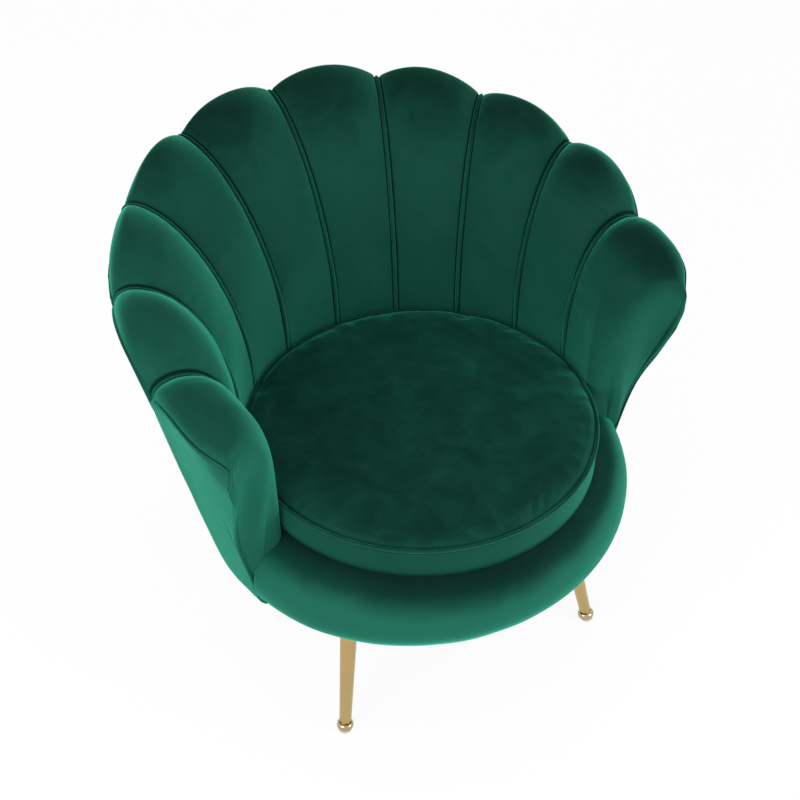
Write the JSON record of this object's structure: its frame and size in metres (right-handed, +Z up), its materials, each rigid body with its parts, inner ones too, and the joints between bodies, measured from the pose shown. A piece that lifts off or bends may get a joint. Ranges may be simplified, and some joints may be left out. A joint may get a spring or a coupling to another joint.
{
  "type": "tub armchair",
  "caption": "Low tub armchair with a scalloped, channelled back wrapping a round seat, a loose piped cushion, a rolled base and slim splayed metal legs with ball feet.",
  "frame": {"origin": "on the floor, under the middle of the chair's overall width and depth", "axes": "+Z up; the chair faces -Y; +X is the sitter's left, and the chair mirrors across X = 0"},
  "size_m": [0.8004, 0.7778, 0.764],
  "materials": {
    "velvet": "emerald velvet with a short nap, sheen at grazing angles",
    "seat_velvet": "the same velvet, darker and crushed in patches",
    "plywood": "sanded birch plywood",
    "deck_foam": "wadding over foam",
    "webbing": "woven elastic webbing",
    "lining": "non-woven dust cover",
    "brushed_gold": "satin brushed gold-coloured plating",
    "polished_gold": "polished champagne-gold plating",
    "zinc_steel": "zinc plated",
    "nylon": "moulded nylon"
  },
  "bodies": {
    "chair": {"channel_pad_left_1": "velvet", "channel_pad_left_2": "velvet", "channel_pad_left_3": "velvet", "channel_pad_left_4": "velvet", "channel_pad_left_5": "velvet", "channel_pad_right_1": "velvet", "channel_pad_right_2": "velvet", "channel_pad_right_3": "velvet", "channel_pad_right_4": "velvet", "channel_pad_right_5": "velvet", "outer_back_cover": "velvet", "front_seat_roll": "velvet", "top_rail": "plywood", "back_rib_centre": "plywood", "back_rib_left_1": "plywood", "back_rib_left_2": "plywood", "back_rib_left_3": "plywood", "back_rib_left_4": "plywood", "back_rib_right_1": "plywood", "back_rib_right_2": "plywood", "back_rib_right_3": "plywood", "back_rib_right_4": "plywood", "arm_post_left": "plywood", "arm_post_right": "plywood", "base_board": "plywood", "base_drum": "plywood", "seat_ring": "plywood", "bottom_lining": "lining", "webbing_across_1": "webbing", "webbing_across_2": "webbing", "webbing_across_3": "webbing", "webbing_across_4": "webbing", "webbing_lengthways_1": "webbing", "webbing_lengthways_2": "webbing", "webbing_lengthways_3": "webbing", "webbing_lengthways_4": "webbing", "deck_pad": "deck_foam", "front_left_glide": "nylon", "front_left_ball_foot": "polished_gold", "front_left_leg": "brushed_gold", "front_left_leg_plate": "zinc_steel", "front_left_leg_stud": "zinc_steel", "front_right_glide": "nylon", "front_right_ball_foot": "polished_gold", "front_right_leg": "brushed_gold", "front_right_leg_plate": "zinc_steel", "front_right_leg_stud": "zinc_steel", "rear_left_glide": "nylon", "rear_left_ball_foot": "polished_gold", "rear_left_leg": "brushed_gold", "rear_left_leg_plate": "zinc_steel", "rear_left_leg_stud": "zinc_steel", "rear_right_glide": "nylon", "rear_right_ball_foot": "polished_gold", "rear_right_leg": "brushed_gold", "rear_right_leg_plate": "zinc_steel", "rear_right_leg_stud": "zinc_steel"},
    "cushion": {"seat_cushion": "seat_velvet", "seat_cushion_piping": "seat_velvet"}
  },
  "joints": [
    {"name": "cushion_lift", "type": "slide", "parent": "chair", "child": "cushion", "axis": [0, 0, 1], "range_m": [0, 0.3]}
  ]
}
